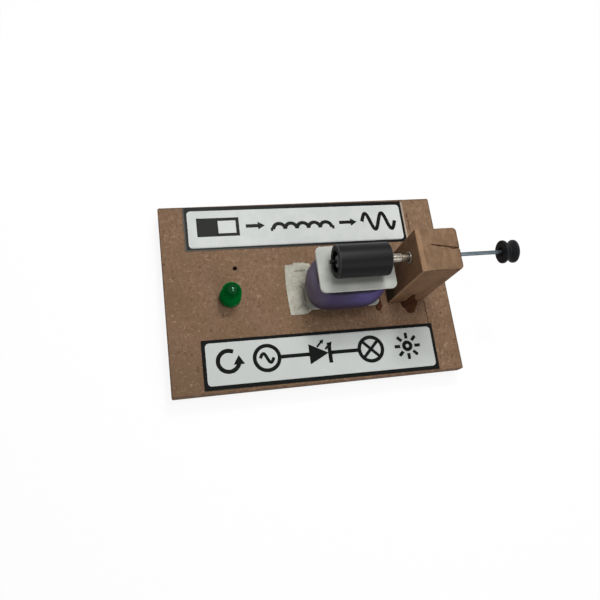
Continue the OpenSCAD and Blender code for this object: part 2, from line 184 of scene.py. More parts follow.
hardboard, place = new_finish("hardboard")
fibres = place.stretched(1, 0.6, 1).cloud(0.9, 5, 0.7)
patches = place.cloud(0.055, 3)
rosy = place.stretched(1.3, 0.7, 1).cloud(0.045, 3).between(0.42, 0.6)
# Painted light and shade: the face is painted lighter towards the rear right and darker towards the front
# left, as the light falls off that way.
painted_rear_light = (place.x * 0.5 + place.y).between(-75, 75)
painted_front_shade = 1 - (place.x * 0.5 + place.y).between(-90, -45)
pale_flecks = place.stretched(0.6, 1, 1).cloud(0.75, 3, 0.75).between(0.6, 0.68)
hair_line = 1 - abs(place.cloud(0.35, 1) - 0.5).between(0.008, 0.035)
hairs = hair_line * place.cloud(0.45, 2).between(0.57, 0.63)
dark_flecks = place.stretched(1, 0.7, 1).cloud(0.6, 3, 0.75).between(0.6, 0.69)
grit = place.cloud(1.7, 2).between(0.56, 0.72)
mark_x = board_mid.x + 60.5
mark_lengths = ((-24.5, -10.5), (30.0, 41.0))
mark_fade = 0.6
side_step = place.cloud(0.25, 4) - 0.5
off_mark = abs(place.x - mark_x + side_step * 2.2)
marks = 0.0
for start, end in mark_lengths:
    marks = marks + place.y.between(start, start + mark_fade) * (1 - place.y.between(end - mark_fade, end))
upper = place.z.between(under_z + 1, under_z + 2)
cut = upper * marks * (1 - off_mark.between(0.1, 0.42)) * place.cloud(0.5).between(0.3, 0.48)
half_board_l = board_high.x - board_mid.x
# Painted shade: a patchy dark line along the edges of the face, where it rounds over.
long_rim = abs(place.y).between(board_high.y - 0.9, board_high.y - 0.2)
short_rim = abs(place.x - board_mid.x).between(half_board_l - 0.9, half_board_l - 0.2)
painted_edge_shade = place.math("MAXIMUM", long_rim, short_rim) * place.cloud(0.3, 3).between(0.3, 0.55)
led_low, led_high = box_mm("led_lens")
led_rim_r = (led_high.x - led_low.x) / 2
nail_r = 1.0
nail_right = 4.0
nail_behind = 15.3
nail_hole = Vector((led_low.x + led_rim_r + nail_right, led_low.y + led_rim_r + nail_behind, 0))
off_hole = place.vector("DISTANCE", place.stretched(1, 1, 0), nail_hole) + side_step * 0.8
nail_mark = upper * (1 - off_hole.between(nail_r, nail_r + 0.4))
edge_face = 1 - abs(place.facing().z).between(0.4, 0.8)
strands = place.stretched(0.3, 0.3, 2.2).cloud(1.0, 3)
colour = layered(
    patches.between(0.38, 0.62).mixed(tone(114, 91, 69), tone(126, 99, 76)),
    (rosy * 0.5, (136, 107, 92)),
    (painted_rear_light * 0.5, (147, 118, 94)),
    (painted_front_shade * 0.8, (100, 81, 61)),
    (1 - fibres.between(0.3, 0.72), (108, 84, 63)),
    (pale_flecks * 0.4, (170, 146, 118)),
    (hairs * 0.45, (172, 148, 122)),
    (dark_flecks * 0.85, (74, 53, 39)),
    (grit * 0.5, (86, 64, 47)),
    (cut, (50, 33, 23)),
    (painted_edge_shade * 0.75, (74, 54, 41)),
    (nail_mark, (40, 20, 10)),
    (edge_face * strands.between(0.3, 0.6), (92, 68, 51)),
)
pressed = fibres * 0.6 + dark_flecks * -0.3 + cut * -0.8
seal(place, colour, 0.66 + fibres * 0.25, pressed, 0.08, specular=0.15)
dress("base_board", hardboard, edge=0.35)


# Feet: four stick-on rubber feet under the corners, which give the wires room below the board.
# They are moulded in black rubber with a rounded lower edge, and dusty from use.
def loft(bm, rings, closed=False, finish=0):
    """Skins rings of points: closed joins the last ring to the first, and otherwise both get caps."""
    loops = [[bm.verts.new(point) for point in ring] for ring in rings]
    count = len(loops[0])
    pairs = list(zip(loops, loops[1:] + loops[:1])) if closed else list(zip(loops, loops[1:]))
    faces = [
        bm.faces.new((low[i], low[i - count + 1], high[i - count + 1], high[i]))
        for low, high in pairs
        for i in range(count)
    ]
    if not closed:
        faces += [bm.faces.new(loops[0]), bm.faces.new(loops[-1])]
    for face in faces:
        face.material_index = finish


def filleted(outline, size, closed=False, steps=3):
    """An outline with its corners rounded. An open outline keeps its two ends."""
    rounded = []
    for i, corner in enumerate(map(Vector, outline)):
        if not closed and i in (0, len(outline) - 1):
            rounded.append(corner)
            continue
        back = Vector(outline[i - 1]) - corner
        on = Vector(outline[i + 1 - len(outline)]) - corner
        reach = min(size, 0.45 * back.length, 0.45 * on.length)
        first = corner + back.normalized() * reach
        last = corner + on.normalized() * reach
        for step in range(steps + 1):
            t = step / steps
            rounded.append(first.lerp(corner, t).lerp(corner.lerp(last, t), t))
    return rounded


def turned(bm, outline, centre, axis, closed=False, segments=96):
    """Turns an outline of (radius, distance along the axis) round the axis through centre."""
    along = Vector(axis)
    side = along.orthogonal().normalized()
    other = along.cross(side)
    angles = [math.tau * i / segments for i in range(segments)]
    circle = [side * math.cos(a) + other * math.sin(a) for a in angles]
    rings = [[centre + along * point[1] + spoke * point[0] for spoke in circle] for point in outline]
    loft(bm, rings, closed)
    bmesh.ops.remove_doubles(bm, verts=bm.verts, dist=0.0001)


def add_piece(name, bm, finishes, body, node):
    """Makes a piece from a mesh in millimetres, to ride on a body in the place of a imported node."""
    bmesh.ops.recalc_face_normals(bm, faces=bm.faces)
    bmesh.ops.scale(bm, vec=(mm, mm, mm), verts=bm.verts)
    mesh = bpy.data.meshes.new(name)
    bm.to_mesh(mesh)
    bm.free()
    mesh.shade_smooth()
    for finish in finishes:
        mesh.materials.append(finish)
    piece = bpy.data.objects.new(name, mesh)
    bpy.context.scene.collection.objects.link(piece)
    piece.modifiers.new("flat", "WEIGHTED_NORMAL")
    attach(piece, body)
    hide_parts(node)


rubber, place = new_finish("rubber")
dust = place.cloud(0.6, 4, 0.7)
pores = place.cloud(4.0, 2)
colour = (dust.between(0.45, 0.75) * 0.6).mixed(tone(38, 38, 38), tone(70, 67, 62))
seal(place, colour, 0.7 + dust * 0.2, pores, 0.04, specular=0.3)

foot_chamfer = 0.8
foot_fillet = 0.5
for corner in ("front_left", "front_right", "rear_left", "rear_right"):
    low, high = box_mm("foot_" + corner)
    radius = (high.x - low.x) / 2
    height = high.z - low.z
    bm = bmesh.new()
    outline = [(0, 0), (radius - foot_chamfer, 0), (radius, foot_chamfer), (radius, height), (0, height)]
    centre = Vector(((low.x + high.x) / 2, (low.y + high.y) / 2, low.z))
    turned(bm, filleted(outline, foot_fillet), centre, (0, 0, 1), segments=64)
    add_piece("rubber_foot_" + corner, bm, [rubber], "base", "foot_" + corner)


# Labels: two printed stickers along the rear and front edges, a white panel in a black border.
# They carry plain circuit signs: a magnet, a coil and a wave behind, a generator and its lamp in front.
# The print is covered by clear film, which stands a little past the border at the right.
def rounded_rectangle(length, depth, radius, corner_steps=6, side_steps=1):
    """Points round a rectangle, anticlockwise from its right side, with every side cut in steps."""
    points = []
    for turn, (side_x, side_y) in enumerate(((1, 1), (-1, 1), (-1, -1), (1, -1))):
        centre = Vector((side_x * (length / 2 - radius), side_y * (depth / 2 - radius)))
        for step in range(corner_steps + 1):
            angle = math.radians(90 * (turn + step / corner_steps))
            points.append(centre + Vector((math.cos(angle), math.sin(angle))) * radius)
    corner_points = corner_steps + 1
    cut = []
    for i, point in enumerate(points):
        following = points[i + 1 - len(points)]
        steps = side_steps if i % corner_points == corner_steps else 1
        cut += [point.lerp(following, step / steps) for step in range(steps)]
    return cut


def slab(bm, columns, rows, spot, top, under, finish=0):
    """A closed sheet: spot(u, v, height) gives the points of its two faces, for u and v from 0 to 1."""
    across = [i / columns for i in range(columns + 1)]
    rings = []
    for row in range(rows + 1):
        v = row / rows
        rings.append([spot(u, v, top) for u in across] + [spot(u, v, under) for u in reversed(across)])
    loft(bm, rings, finish=finish)


def ripple(x, y):
    """How far a sticker stands off its flat at a point of the board."""
    return 0.05 * noise.noise(Vector((x / 9, y / 9, 0.3)))


class Label:
    """One printed sticker: points are measured from its middle, in millimetres."""

    film, paper, ink = range(3)
    ink_z = 0.035
    ink_foot = -0.06
    length = 121.2
    pen = 1.9

    def __init__(self, node, depth, turn):
        self.depth = depth
        self.low, self.high = box_mm(node)
        self.middle = (self.low + self.high) / 2
        self.heading = Vector((math.cos(math.radians(turn)), math.sin(math.radians(turn))))
        self.bm = bmesh.new()

    def point(self, across, along, rise):
        x = self.middle.x + across * self.heading.x - along * self.heading.y
        y = self.middle.y + across * self.heading.y + along * self.heading.x
        return Vector((x, y, self.high.z + rise + ripple(x, y)))

    def sheet(self, left, right, front, rear, rise, sink, finish):
        def place(u, v, z):
            return self.point(left + (right - left) * u, front + (rear - front) * v, z)

        slab(self.bm, 80, 16, place, rise, sink, finish)

    def frame(self, outer, inner):
        """A printed border between two rings of points."""
        edge = ((outer, self.ink_foot), (outer, self.ink_z), (inner, self.ink_z), (inner, self.ink_foot))
        rings = [[self.point(x, y, z) for x, y in ring] for ring, z in edge]
        loft(self.bm, rings, closed=True, finish=self.ink)

    def stroke(self, path, width=pen, closed=False):
        """A line of ink along a path."""
        rings = []
        for i, here in enumerate(map(Vector, path)):
            back = Vector(path[i - 1]) if closed or i > 0 else here
            on = Vector(path[i + 1 - len(path)]) if closed or i < len(path) - 1 else here
            heading = (on - back).normalized()
            side = Vector((-heading.y, heading.x)) * width / 2
            edge = [(-1, self.ink_foot), (-1, self.ink_z), (1, self.ink_z), (1, self.ink_foot)]
            spots = [(here + side * hand, z) for hand, z in edge]
            rings.append([self.point(spot.x, spot.y, z) for spot, z in spots])
        loft(self.bm, rings, closed=closed, finish=self.ink)

    def wedge(self, start, end, wide, narrow):
        """A filled shape from start to end whose width runs from wide to narrow."""
        start, end = Vector(start), Vector(end)
        heading = (end - start).normalized()
        side = Vector((-heading.y, heading.x))

        def place(u, v, z):
            spot = start.lerp(end, v) + side * (u - 0.5) * (wide + (narrow - wide) * v)
            return self.point(spot.x, spot.y, z)

        slab(self.bm, 8, 8, place, self.ink_z, self.ink_foot, self.ink)

    def line(self, start, end, width=pen):
        self.wedge(start, end, width, width)

    def arrow(self, start, end, head=3.6, width=pen):
        neck = Vector(end) - (Vector(end) - Vector(start)).normalized() * head
        self.line(start, neck, width)
        self.wedge(neck, end, head * 1.24, 0.1)

    def arc(self, centre, radius, start, end, width=pen):
        """A part of a circle between two angles in degrees, or the whole circle."""
        whole = end - start == 360
        count = 48 if whole else max(8, round(abs(end - start) / 8))
        angles = [math.radians(start + (end - start) * i / count) for i in range(count + (not whole))]
        path = [(centre[0] + radius * math.cos(a), centre[1] + radius * math.sin(a)) for a in angles]
        self.stroke(path, width, whole)

    def wave(self, start, length, height, periods, width=pen):
        count = 24 * periods
        self.stroke([
            (start[0] + length * i / count, start[1] + height * math.sin(math.tau * periods * i / count))
            for i in range(count + 1)
        ], width)


def border(label, left, right, front, rear, film):
    """The film, the white panel and the black border, from the border's width on each side."""
    half_l = Label.length / 2
    half_d = label.depth / 2
    label.sheet(-half_l, half_l, -half_d, half_d, 0, label.low.z - label.high.z, Label.film)
    label.sheet(-half_l + 1, half_l - film - 1, -half_d + 1, half_d - 1, 0.02, -0.05, Label.paper)
    length = 2 * half_l - film
    depth = 2 * half_d
    steps = 40
    outer = rounded_rectangle(length, depth, 0.3, side_steps=steps)
    inner = rounded_rectangle(length - left - right, depth - front - rear, 2.0, side_steps=steps)
    shift = Vector(((left - right) / 2, (front - rear) / 2))
    drop = Vector((-film / 2, 0))
    label.frame([p + drop for p in outer], [p + drop + shift for p in inner])


def mottled(name, per_mm, dark, pale, roughness, relief, detail=3, specular=0.5, metallic=0.0):
    """A finish of one soft mottle, for its colour, its relief and its roughness from low to high."""
    finish, place = new_finish(name)
    mottle = place.cloud(per_mm, detail)
    low, high = roughness
    colour = mottle.mixed(tone(*dark), tone(*pale))
    seal(place, colour, low + mottle * (high - low), mottle, relief, specular, metallic)
    return finish


film = mottled("label_film", 0.2, (142, 126, 112), (166, 152, 138), (0.3, 0.5), 0.02, specular=0.3)

paper, place = new_finish("label_paper")
clouding = place.cloud(0.12, 3)
tooth = place.cloud(2.5, 2)
# Painted shade: the paper is darker towards the front, where less light falls.
painted_front_shade = 1 - place.y.between(-30, 30)
colour = layered(
    clouding.between(0.3, 0.7).mixed(tone(189, 193, 190), tone(197, 200, 197)),
    (tooth.between(0.6, 0.8) * 0.25, (186, 190, 188)),
    (painted_front_shade * 0.6, (180, 184, 181)),
)
seal(place, colour, 0.45 + clouding * 0.2, tooth, 0.01, specular=0.15)

ink, place = new_finish("label_ink")
wear = place.cloud(0.7, 4, 0.7)
# Painted reflection: the ink at the left of the rear label, and most near its outer edge, is painted paler,
# as the clear film reflects light there.
painted_film_reflection = place.y.between(0, 20) * (1 - (place.x - board_mid.x).between(-80, 55))
rear_low, rear_high = box_mm("rear_label")
from_left = place.x - rear_low.x
rear_turn = -0.3
turn_rise = (place.x - rear_high.x) * math.tan(math.radians(-rear_turn))
from_front = place.y - rear_low.y + turn_rise
outer_edge = 1 - place.math("MINIMUM", from_left.between(0.3, 1.1), from_front.between(0.2, 0.8))
colour = layered(
    (wear.between(0.5, 0.8) * 0.6).mixed(tone(14, 16, 15), tone(36, 36, 34)),
    (painted_film_reflection, (47, 48, 46)),
    (outer_edge * painted_film_reflection * 0.8, (98, 95, 89)),
)
seal(place, colour, 0.6 + wear * 0.2, wear, 0.01, specular=0.06)

rear = Label("rear_label", depth=24.2, turn=rear_turn)
border(rear, left=1.95, right=1.4, front=1.4, rear=2.1, film=0.95)
mid_t = 0.6
# A bar magnet with one filled and one open pole
pole_h = 10.4
pole_pen = 1.7
pole_end = -32
pole_side = (pole_h - pole_pen) / 2
rear.line((-54, mid_t), (-43, mid_t), pole_h)
for edge_t in (mid_t - pole_side, mid_t + pole_side):
    rear.line((-44, edge_t), (pole_end, edge_t), pole_pen)
end_x = pole_end - pole_pen / 2
rear.line((end_x, mid_t - 4), (end_x, mid_t + 4), pole_pen)
rear.arrow((-28.5, mid_t), (-18.5, mid_t))
# A coil and the wave that comes out of it
coil_start = -14.0
hump = 6.4
humps = 5
coil_end = coil_start + hump * humps
coil_t = mid_t - 2.5
rear.line((coil_start - 1.5, coil_t), (coil_start - 0.2, coil_t))
for turn in range(humps):
    rear.arc((coil_start + hump * (turn + 0.5), coil_t), hump / 2, start=180, end=0, width=2.0)
rear.line((coil_end + 0.2, coil_t), (coil_end + 1.5, coil_t))
rear.arrow((22.5, mid_t), (32.5, mid_t))
rear.wave((35.5, mid_t), length=19, height=4.8, periods=2, width=2.0)
add_piece("printed_rear_label", rear.bm, [film, paper, ink], "base", "rear_label")

front = Label("front_label", depth=24.7, turn=-0.4)
border(front, left=1.75, right=1.55, front=2.0, rear=1.6, film=0)
mid_t = 1.2
sign_r = 6.2
generator_x = -29
diode_x = -7.5
lamp_mid = Vector((25, mid_t))
light_mid = Vector((45, mid_t))
# A turn of the shaft, and the generator with its wave
front.arc((-48, mid_t), 5.2, start=60, end=345, width=2.1)
front.wedge((-42.9, mid_t - 1.9), (-42.9, mid_t + 2.6), 5.6, 0.1)
front.arc((generator_x, mid_t), sign_r, 0, 360)
front.wave((generator_x - 3.4, mid_t), length=6.8, height=2.3, periods=1, width=1.6)
# The wire to a light-emitting diode, with its two light arrows
front.line((generator_x + sign_r, mid_t), (diode_x, mid_t))
front.wedge((diode_x, mid_t), (2.4, mid_t), 10.4, 0.2)
front.line((3.2, mid_t - 5.2), (3.2, mid_t + 5.2), 2.0)
for step in (0, 4.2):
    front.arrow((-3.2 + step, mid_t + 3.4 - step * 0.35), (0.6 + step, mid_t + 7.0 - step * 0.35), 2.0, 1.0)
# The wire to a lamp, and a light
front.line((4.2, mid_t), (lamp_mid.x - sign_r, mid_t))
front.arc(lamp_mid, sign_r, 0, 360)
for angle in (45, 135):
    arm = Vector((math.cos(math.radians(angle)), math.sin(math.radians(angle)))) * 5.6
    front.line(lamp_mid - arm, lamp_mid + arm, 1.6)
for ray in range(8):
    heading = Vector((math.cos(math.tau * ray / 8), math.sin(math.tau * ray / 8)))
    front.line(light_mid + heading * 3.9, light_mid + heading * 7.0, 1.7)
front.arc(light_mid, 1.9, 0, 360)
add_piece("printed_front_label", front.bm, [film, paper, ink], "base", "front_label")


# Bearing post: a block of brown wood stood on end, glued and screwed to the board from below.
# It was sawn by hand, its pulley-side corners are rubbed round, and its top has split in from that side.
def even_skin(node, voxel, smoothing):
    """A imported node's solid as an even skin of small faces in millimetres, ready to be dented."""
    copy = bpy.data.objects.new("skin", nodes[node].data.copy())
    bpy.context.scene.collection.objects.link(copy)
    copy.modifiers.new("joined", "WELD").merge_threshold = 0.001 * mm
    even = copy.modifiers.new("even", "REMESH")
    even.mode = "VOXEL"
    even.voxel_size = voxel * mm
    soft = copy.modifiers.new("soft", "SMOOTH")
    soft.factor = 0.5
    soft.iterations = smoothing
    bm = bmesh.new()
    bm.from_object(copy, bpy.context.evaluated_depsgraph_get())
    bpy.data.objects.remove(copy)
    bmesh.ops.scale(bm, vec=(1 / mm, 1 / mm, 1 / mm), verts=bm.verts)
    bm.normal_update()
    return bm


post_low, post_high = box_mm("bearing_post")
rub_w = 1.1
rub_depth = 0.08
chip_size = 2.2
chip_depth = 0.3
split_l = 15.5
split_depth = 1.0
wave_mid = 0.25
wave_h = 0.4
wave_turn = math.tau / 7.3
split_turn = math.radians(10)
split_along = Vector((-math.cos(split_turn), math.sin(split_turn)))
split_across = Vector((split_along.y, -split_along.x))
bm = even_skin("bearing_post", voxel=0.2, smoothing=1)
for vert in bm.verts:
    spot = vert.co.copy()
    inside = sorted((
        min(spot.x - post_low.x, post_high.x - spot.x),
        min(spot.y - post_low.y, post_high.y - spot.y),
        post_high.z - spot.z,
    ))
    # The second nearest face is close only along an edge
    rub = max(0, 1 - max(inside[1], 0) / rub_w)
    chip = max(0, noise.noise(spot / chip_size))
    vert.co -= vert.normal * (0.05 + 0.05 * noise.noise(spot / 5) + rub * (rub_depth + chip_depth * chip))
    way = Vector((spot.x - post_high.x, spot.y))
    along = way.dot(split_along)
    off = abs(way.dot(split_across) + wave_mid + wave_h * math.sin(wave_turn * along - 2 * wave_turn))
    gape = 0.2 + 0.3 * max(0, 1 - along / 3)
    if post_high.z - spot.z < 0.4 and along < split_l and off < gape:
        vert.co.z -= split_depth * (1 - off / gape) * min(1, (split_l - along) / 9)

wood, place = new_finish("post_wood")
face = place.facing()
end_grain = abs(face.z).between(0.5, 0.8)
long_grain = place.stretched(1.0, 1.0, 0.05).cloud(0.9, 4, 0.6)
rings = place.stretched(0.5, 0.2, 0.4).cloud(0.8, 4, 0.65)
pores = place.cloud(1.1, 4, 0.75)
side_colour = long_grain.between(0.28, 0.72).mixed(tone(113, 83, 59), tone(124, 93, 68))
mottle = place.stretched(1, 1, 0.5).cloud(0.22, 4, 0.6).between(0.4, 0.7)
side_colour = (mottle * 0.5).mixed(side_colour, tone(82, 59, 43))
end_colour = rings.between(0.3, 0.7).mixed(tone(104, 80, 60), tone(125, 99, 76))
sawn_band = end_grain * (1 - place.x.between(post_low.x + 2.3, post_low.x + 2.8))
# The dark patch on the pulley side is partly a real stain and partly painted shade on the rounded corners
# there.
stain = place.x.between(post_high.x - 1.6, post_high.x) * place.cloud(0.35, 3).between(0.3, 0.5)
front_edge = 1 - place.x.between(post_low.x + 1.2, post_low.x + 2.0)
front_edge = front_edge * (1 - place.y.between(post_low.y + 0.2, post_low.y + 0.5))
# Painted shade: the face towards the coil is darkened low down, where the coil and its plate shade it.
coil_side = (face.x * -1).between(0.6, 0.9)
painted_coil_side_shade = coil_side * (1 - place.z.between(top_z + 8, top_z + 17))
top_rim = place.z.between(post_high.z - 0.7, post_high.z - 0.3)
top_rim = top_rim * (1 - place.y.between(post_low.y + 0.3, post_low.y + 0.7))
top_rim = top_rim * place.x.between(post_low.x + 2.5, post_low.x + 4.0)
top_rim = top_rim * place.cloud(0.4, 3).between(0.3, 0.5)
# Painted shade: every face is darkened just above the board, where the post meets it.
foot = 1 - place.z.between(top_z + 0.7, top_z + 1.8)
from_x = place.x - post_high.x
along = from_x * split_along.x + place.y * split_along.y
across = from_x * split_across.x + place.y * split_across.y
wave = wave_mid + wave_h * place.math("SINE", wave_turn * along - 2 * wave_turn)
ragged = abs(across + wave + (place.cloud(0.6, 3) - 0.5) * 0.3)
open_w = 0.14 + 0.16 * (1 - along.between(0, 5))
split = (1 - (ragged - open_w).between(-0.12, 0.1)) * (1 - along.between(split_l - 3, split_l))
split = split * place.z.between(post_high.z - 4.0, post_high.z - 2.0)
colour = layered(
    end_grain.mixed(side_colour, end_colour),
    (pores.between(0.56, 0.7) * 0.65, (76, 53, 39)),
    (sawn_band * 0.45, (150, 119, 91)),
    (stain * 0.7, (66, 48, 35)),
    (front_edge * 0.5, (148, 116, 90)),
    (painted_coil_side_shade * 0.85, (30, 26, 17)),
    (top_rim * 0.7, (68, 47, 33)),
    (foot * 0.85, (50, 31, 21)),
    (split * (0.85 - 0.5 * along.between(4, 12)), (52, 34, 23)),
)
seal(place, colour, 0.65 + pores * 0.3, long_grain * 0.25 + pores * 0.4, 0.1, specular=0.15)
add_piece("sawn_post", bm, [wood], "base", "bearing_post")


# Post screws: two countersunk wood screws driven up through the board into the foot of the post.
# They are zinc-plated steel with cross slots.
zinc = mottled("zinc_plate", 1.2, (168, 168, 162), (196, 196, 192), (0.3, 0.55), 0.02, metallic=1.0)
dress("post_screws", zinc, edge=0.12)


# Bushes: two flanged nickel-plated bushes pressed into the post, with a wide mouth round the shaft.
# They were turned, so fine rings run round their faces.
def ring_piece(name, outline, finish, body, node, axis=(1, 0, 0), rounding=0.12):
    """A turned piece with a bore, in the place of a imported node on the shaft's line."""
    low, high = box_mm(node)
    start = low.x if axis[0] > 0 else high.x
    bm = bmesh.new()
    centre = Vector((start, (low.y + high.y) / 2, (low.z + high.z) / 2))
    turned(bm, filleted(outline, rounding, closed=True), centre, axis, closed=True)
    add_piece(name, bm, [finish], body, node)


shaft_low, shaft_high = box_mm("rotor_shaft")
shaft_y = (shaft_low.y + shaft_high.y) / 2
shaft_z = (shaft_low.z + shaft_high.z) / 2


def round_shaft(place):
    """The distance of a place from the middle of the shaft."""
    across = place.y - shaft_y
    up = place.z - shaft_z
    return place.math("SQRT", across * across + up * up)


running_r = 1.05
mouth_r = 2.15
mouth_depth = 0.9
barrel_r = 2.4
flange_r = 2.75
flange_t = 0.6
bush_l = 8.6
nickel, place = new_finish("nickel")
turning = place.node("TexNoise", {"noise_dimensions": "1D"}, {"W": round_shaft(place), "Scale": 9.0})
tarnish = place.cloud(0.8, 3)
colour = tarnish.mixed(tone(146, 140, 131), tone(180, 175, 166))
# Painted shade: all of the bush nearer the shaft than its barrel is dark, as shade in its mouth.
colour = round_shaft(place).between(barrel_r - 0.15, barrel_r).mixed(tone(30, 26, 22), colour)
seal(place, colour, 0.28 + tarnish * 0.25, turning, 0.015, metallic=1.0)

bush = [
    (running_r, mouth_depth), (mouth_r, mouth_depth), (mouth_r, 0), (flange_r, 0),
    (flange_r, flange_t), (barrel_r, flange_t), (barrel_r, bush_l), (running_r, bush_l),
]
ring_piece("turned_inner_bush", bush, nickel, "base", "inner_bush")
ring_piece("turned_outer_bush", bush, nickel, "base", "outer_bush", axis=(-1, 0, 0))


# Glue: dark brown adhesive that ran out at the foot of the post and at the coil's corner, and dried.
# A tongue of it climbs the post's front, and its skin has dried lumpy and dull.
adhesive, place = new_finish("brown_adhesive")
thick = place.cloud(0.5, 3)
colour = thick.between(0.3, 0.7).mixed(tone(52, 29, 15), tone(78, 45, 24))
seal(place, colour, 0.5 + thick * 0.2, thick, 0.1, specular=0.08)
for name, node in (("dried_post_glue", "post_glue"), ("dried_coil_glue", "coil_glue")):
    bm = even_skin(node, voxel=0.16, smoothing=8)
    for vert in bm.verts:
        vert.co += vert.normal * 0.08 * noise.noise(vert.co / 1.4)
    add_piece(name, bm, [adhesive], "base", node)


# Coil bobbin: a white nylon bobbin of two plates with round corners on a square tube.
# It was moulded, with a burr left along the front edge of its upper plate.
nylon, place = new_finish("nylon")
bloom = place.cloud(0.12, 3)
scuffs = place.stretched(0.25, 2.0, 1.0).cloud(1.0, 4, 0.7)
# Painted light: the upright edges of the plates are painted paler, as they catch the light.
painted_side_light = 1 - abs(place.facing().z).between(0.4, 0.8)
colour = layered(
    bloom.between(0.3, 0.7).mixed(tone(161, 164, 157), tone(175, 177, 171)),
    (scuffs.between(0.6, 0.75) * 0.35, (164, 166, 162)),
    (painted_side_light * 0.8, (214, 208, 202)),
)
seal(place, colour, 0.42 + scuffs * 0.2, scuffs, 0.02, specular=0.2)

bobbin_low, bobbin_high = box_mm("coil_bobbin")
core_low, core_high = box_mm("iron_core")
coil_x = (bobbin_low.x + bobbin_high.x) / 2
coil_y = (bobbin_low.y + bobbin_high.y) / 2
bobbin_l = bobbin_high.x - bobbin_low.x
bobbin_d = bobbin_high.y - bobbin_low.y
plate_t = 1.5
plate_corner = 2.8
core_l = core_high.x - core_low.x
core_d = core_high.y - core_low.y
tube_wall = 1.0
core_room = 0.1


def rectangle_ring(length, depth, radius, z, burr=0.0):
    """A rounded rectangle round the coil's axis, with a ragged burr along its front side."""
    ring = []
    for point in rounded_rectangle(length, depth, radius, side_steps=48):
        ragged = max(0, noise.noise(Vector((point.x / 1.7, 4.1, 0)))) if point.y < -depth / 2 + 0.01 else 0
        ring.append(Vector((coil_x + point.x, coil_y + point.y - burr * ragged, z)))
    return ring


bm = bmesh.new()
hole = (core_l + 2 * core_room, core_d + 2 * core_room, 0.2)
tube = (core_l + 2 * tube_wall, core_d + 2 * tube_wall, 0.5)
round_off = 0.3
plate_edge = (
    (round_off, 0, 0), (0, round_off, 0), (0, plate_t - round_off, 0.4),
    (round_off * 0.3, plate_t - round_off * 0.3, 1), (round_off, plate_t, 0),
)
for plate_z, burr in ((bobbin_low.z, 0.0), (bobbin_high.z - plate_t, 0.5)):
    rings = [rectangle_ring(*hole, plate_z)]
    for inset, rise, share in plate_edge:
        size = (bobbin_l - 2 * inset, bobbin_d - 2 * inset, plate_corner - inset)
        rings.append(rectangle_ring(*size, plate_z + rise, burr * share))
    rings.append(rectangle_ring(*hole, plate_z + plate_t))
    loft(bm, rings, closed=True)
tube_z = (bobbin_low.z + plate_t, bobbin_high.z - plate_t)
loft(bm, [rectangle_ring(*size, z) for size, z in (
    (hole, tube_z[0]), (tube, tube_z[0]), (tube, tube_z[1]), (hole, tube_z[1]))], closed=True)
add_piece("moulded_bobbin", bm, [nylon], "base", "coil_bobbin")


# Iron core: a stack of varnished soft-iron sheets pushed through the bobbin's tube.
# The sheared ends are bare, and the varnish between the sheets shows as dark lines.
iron, place = new_finish("core_iron")
rust = place.cloud(0.5, 4, 0.6)
colour = rust.between(0.5, 0.8).mixed(tone(86, 88, 92), tone(92, 70, 54))
seal(place, colour, 0.45 + rust * 0.2, rust, 0.03, metallic=0.8)
dress("iron_core", iron, edge=0.08)


# Winding: many turns of enamelled copper wire on the bobbin, hidden under the tape.
# It is kept as the one solid that the turns fill, with a ridge for each turn.
copper, place = new_finish("enamelled_copper")
turns = place.node("TexWave", {"bands_direction": "Z"}, {"Vector": place, "Scale": 0.6, "Distortion": 0.4})
sheen = place.cloud(0.4, 2)
colour = sheen.mixed(tone(146, 84, 44), tone(176, 108, 62))
seal(place, colour, 0.3 + sheen * 0.15, turns, 0.15, metallic=0.9)
dress("coil_winding", copper, edge=0.1)


# Coil wrap: purple insulating tape wound round the swollen coil in one long helix.
# It is soft plastic, pulled tight over the corners, so it puckers where it meets the two plates.
wrap_low, wrap_high = box_mm("coil_wrap")
bulge = 4.3
wrap_h = wrap_high.z - wrap_low.z
wrap_mid = (wrap_low + wrap_high) / 2
half_d = (wrap_high.y - wrap_low.y) / 2 - bulge
half_straight = (wrap_high.x - wrap_low.x) / 2 - bulge - half_d
swell_r = (wrap_h * wrap_h / 4 + bulge * bulge) / (2 * bulge)
tape_pitch = 8.0
tape_step = 0.12
lap_start = 0.96
square_corner = Vector((-1, -1)).normalized()
levels = 110


def coil_outline(end_steps=72, straight_steps=22):
    """Points and outward headings round the coil at its plates: two half rounds and two straights."""
    outline = []
    for side in (1, -1):
        centre = Vector((wrap_mid.x + side * half_straight, wrap_mid.y))
        for step in range(end_steps):
            angle = math.pi * (step / end_steps - 0.5)
            heading = Vector((math.cos(angle), math.sin(angle))) * side
            outline.append((centre + heading * half_d, heading))
        heading = Vector((0, side))
        corner = centre + heading * half_d
        for step in range(straight_steps):
            back = Vector((-2 * side * half_straight * step / straight_steps, 0))
            outline.append((corner + back, heading))
    return outline


outline = coil_outline()
rings = []
for level in range(levels + 1):
    z = wrap_low.z + wrap_h * level / levels
    swell = math.sqrt(swell_r**2 - (z - wrap_mid.z) ** 2) - swell_r + bulge
    near_plate = abs(2 * level / levels - 1) ** 6
    ring = []
    for i, (point, heading) in enumerate(outline):
        spot = Vector((point.x + heading.x * swell, point.y + heading.y * swell, z))
        turn = (z / tape_pitch - i / len(outline) + 0.05 * noise.noise(spot / 6)) % 1
        lap = 1 - turn if turn < lap_start else (turn - lap_start) / (1 - lap_start)
        pucker = near_plate * 0.3 * (noise.noise(Vector((spot.x, spot.y, z * 0.3)) / 1.1) - 0.6)
        lump = 0.22 * noise.noise(spot / 7) + 1.1 * max(0, heading.dot(square_corner)) ** 8
        out = heading * (lap * tape_step + pucker + lump)
        ring.append(spot + Vector((out.x, out.y, 0)))
    rings.append(ring)
bm = bmesh.new()
loft(bm, rings)

